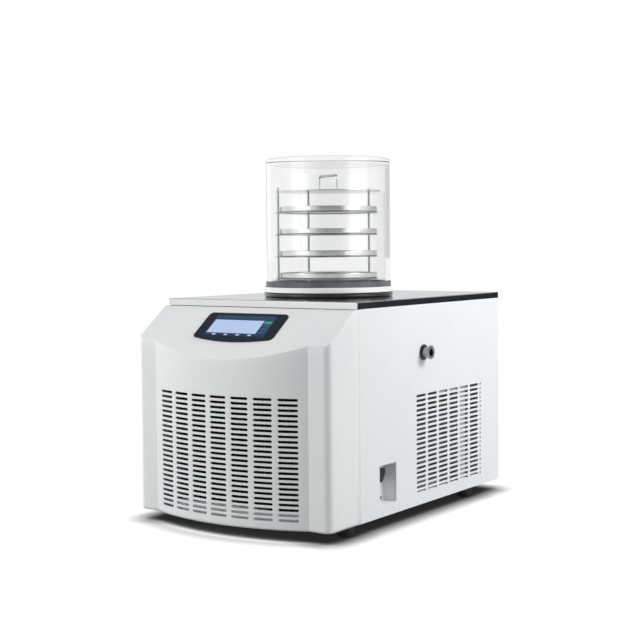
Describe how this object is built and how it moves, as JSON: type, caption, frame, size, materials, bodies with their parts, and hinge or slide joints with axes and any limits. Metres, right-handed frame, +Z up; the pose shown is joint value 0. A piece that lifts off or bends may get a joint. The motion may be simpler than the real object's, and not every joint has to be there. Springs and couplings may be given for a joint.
{
  "type": "freeze dryer",
  "caption": "Benchtop freeze dryer with a clear drying chamber and stacked trays over a cold trap, on a vented cabinet with a sloped screen.",
  "frame": {"origin": "on the floor, under the middle of the whole machine's bounding box", "axes": "+X to the machine's right side with the vacuum port, as seen from the front; +Y to the rear; +Z up; the front panel faces -Y"},
  "size_m": [0.468, 0.7049, 0.712],
  "materials": {
    "cabinet_paint": "powder coat, fine",
    "front_plastic": "moulded, satin",
    "zinc_sheet": "zinc plated sheet",
    "polished_steel": "mirror polished stainless steel",
    "stainless": "satin stainless steel",
    "clear_plastic": "clear acrylic, polished",
    "black_rubber": "smooth",
    "grey_gasket": "smooth",
    "copper": "drawn copper tube",
    "foam": "rigid foam",
    "black_plastic": "moulded",
    "black_paint": "gloss enamel",
    "screen_glass": "printed cover glass",
    "brass_metal": "turned",
    "clear_hose": "silicone hose"
  },
  "bodies": {
    "cabinet": {"base_pan": "cabinet_paint", "front_panel": "front_plastic", "right_side_panel": "cabinet_paint", "left_side_panel": "cabinet_paint", "rear_panel": "cabinet_paint", "top_plate": "polished_steel", "feet": "black_rubber", "front_post_left": "cabinet_paint", "front_post_right": "cabinet_paint", "rear_post_left": "cabinet_paint", "rear_post_right": "cabinet_paint", "trap_shelf": "cabinet_paint", "trap_can": "stainless", "evaporator_coil": "copper", "trap_insulation": "foam", "seal_ring": "black_rubber", "flange_ring": "polished_steel", "chamber_gasket": "grey_gasket", "chamber_cylinder": "clear_plastic", "chamber_lid": "clear_plastic", "rack_base": "stainless", "rack_rods": "stainless", "rack_shelf_1": "stainless", "rack_shelf_2": "stainless", "rack_shelf_3": "stainless", "rack_shelf_4": "stainless", "rack_top_plate": "stainless", "rack_handle": "stainless", "tray_1": "stainless", "tray_2": "stainless", "tray_3": "stainless", "tray_4": "stainless", "port_ring": "black_rubber", "vacuum_port": "stainless", "vacuum_pipe": "stainless", "drain_pocket": "cabinet_paint", "drain_valve": "brass_metal", "drain_hose": "clear_hose", "outlet_hose": "clear_hose", "condenser": "zinc_sheet", "fan_shroud": "zinc_sheet", "fan_motor": "black_paint", "fan_bracket": "zinc_sheet", "compressor": "black_paint", "compressor_plate": "zinc_sheet", "compressor_grommets": "black_rubber", "filter_drier": "copper", "suction_line": "copper", "discharge_line": "copper", "liquid_line": "copper", "capillary_line": "copper", "screen_glass": "screen_glass", "display_module": "black_plastic", "control_box": "cabinet_paint", "power_inlet": "black_plastic", "power_switch_frame": "black_plastic"},
    "fan": {"fan_blades": "black_plastic", "fan_shaft": "stainless"},
    "drain_knob": {"drain_knob": "black_plastic"},
    "rocker": {"power_switch_rocker": "black_plastic"}
  },
  "joints": [
    {"name": "fan_spin", "type": "hinge", "parent": "cabinet", "child": "fan", "pos_m": [-0.009, -0.22515, 0.135], "axis": [0, 1, 0], "continuous": true},
    {"name": "drain_knob_turn", "type": "hinge", "parent": "cabinet", "child": "drain_knob", "pos_m": [0.191, -0.10815, 0.099], "axis": [1, 0, 0], "range_deg": [0, 90]},
    {"name": "power_switch_rock", "type": "hinge", "parent": "cabinet", "child": "rocker", "pos_m": [-0.089, 0.34835, 0.102], "axis": [1, 0, 0], "range_deg": [0, 14]}
  ]
}
